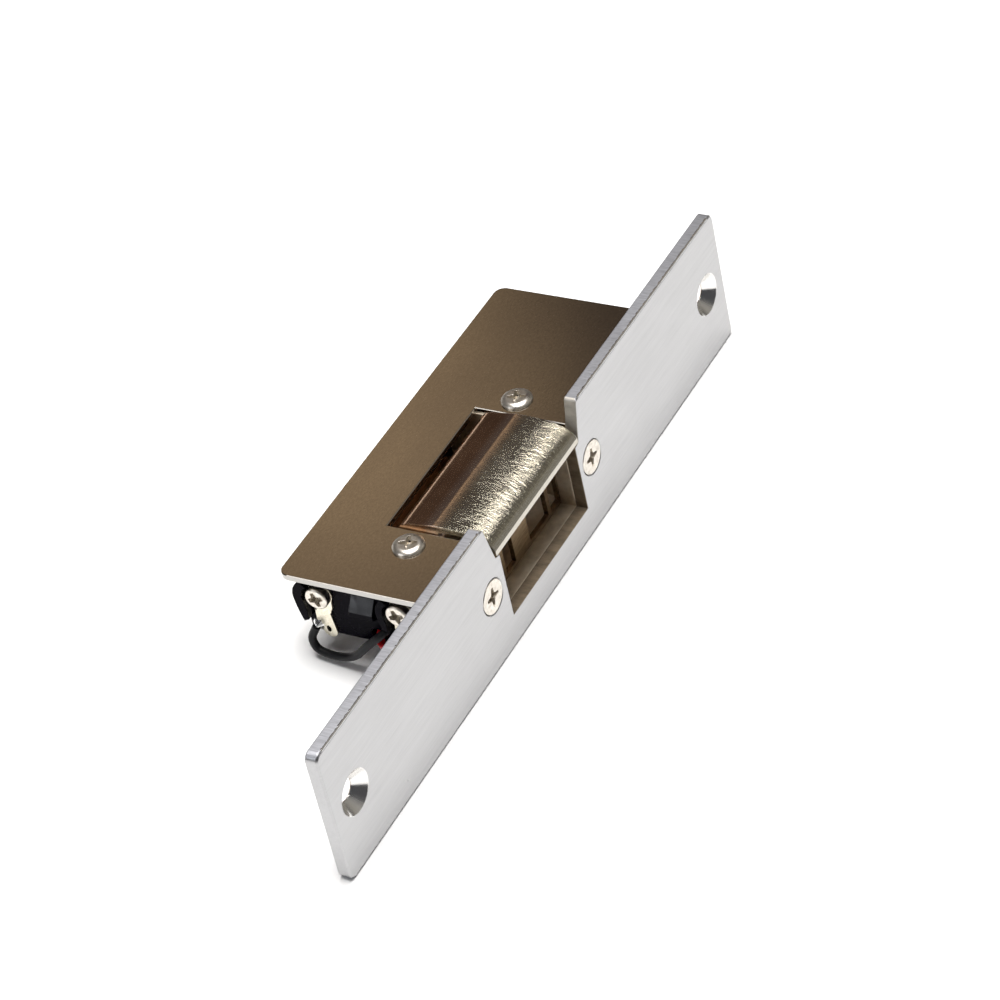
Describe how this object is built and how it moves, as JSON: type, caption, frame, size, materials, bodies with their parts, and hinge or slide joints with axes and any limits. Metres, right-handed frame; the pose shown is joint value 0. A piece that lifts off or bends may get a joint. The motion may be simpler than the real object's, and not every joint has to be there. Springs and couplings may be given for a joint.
{
  "type": "electric door strike",
  "caption": "Short-bodied electric door strike with a long flat faceplate, a sprung swinging keeper over the latch opening and screw terminals at one end.",
  "frame": {"origin": "centre of the faceplate's rear face, halfway between the two jamb screw holes", "axes": "+X along the faceplate towards the coil end, +Y into the jamb, +Z across the faceplate towards the keeper and the cover plate"},
  "size_m": [0.16, 0.0358, 0.03],
  "materials": {
    "stainless_faceplate": "satin stainless, brushed along the length",
    "stainless_cover": "satin stainless, fine grain",
    "zinc_casting": "zinc alloy die casting, as cast and tumbled",
    "nickel_screws": "bright nickel plate",
    "nickel_keeper": "nickel plate over hand-ground steel",
    "bright_steel": "ground",
    "spring_steel": "drawn wire",
    "bronzed_steel": "bronze passivated sheet",
    "zinc_plated_steel": "zinc plate",
    "white_plastic": "moulded nylon",
    "copper_wire": "enamelled copper wire",
    "black_plastic": "glossy moulded plastic",
    "brass_insert": "turned",
    "tinned_brass": "tinned brass",
    "black_lead": "PVC insulation",
    "red_lead": "PVC insulation"
  },
  "bodies": {
    "body": {"faceplate": "stainless_faceplate", "faceplate_screws": "nickel_screws", "housing": "zinc_casting", "cover_plate": "stainless_cover", "cover_screws": "nickel_screws", "keeper_pin": "bright_steel", "keeper_springs": "spring_steel", "latch_guide": "bronzed_steel", "lever_pin": "bright_steel", "lever_spring": "spring_steel", "armature_pin": "bright_steel", "armature_clip": "spring_steel", "armature_spring": "spring_steel", "yoke": "zinc_plated_steel", "core": "bright_steel", "bobbin": "white_plastic", "winding": "copper_wire", "coil_screw": "nickel_screws", "terminal_block": "black_plastic", "terminal_inserts": "brass_insert", "solder_tags": "tinned_brass", "terminal_screws": "nickel_screws", "lead_black": "black_lead", "lead_red": "red_lead"},
    "keeper": {"keeper": "nickel_keeper"},
    "lever": {"locking_lever": "zinc_plated_steel"},
    "armature": {"armature": "zinc_plated_steel"}
  },
  "joints": [
    {"name": "keeper_swing", "type": "hinge", "parent": "body", "child": "keeper", "pos_m": [0, 0.0145, 0.0062], "axis": [-1, 0, 0], "range_deg": [0, 60], "stiffness_Nm_per_rad": 0.05, "springref_deg": -28.65, "deforming": ["keeper_springs"]},
    {"name": "lever_turn", "type": "hinge", "parent": "body", "child": "lever", "pos_m": [0, 0.026, -0.0045], "axis": [1, 0, 0], "range_deg": [0, 12], "deforming": ["lever_spring"]},
    {"name": "armature_pull", "type": "hinge", "parent": "body", "child": "armature", "pos_m": [0.0272, 0.0052, 0], "axis": [0, 0, -1], "range_deg": [0, 6]}
  ],
  "couplings": [
    {"joint": "lever_turn", "follows": "keeper_swing", "ratio": 0.2},
    {"joint": "armature_pull", "follows": "keeper_swing", "ratio": 0.1}
  ]
}
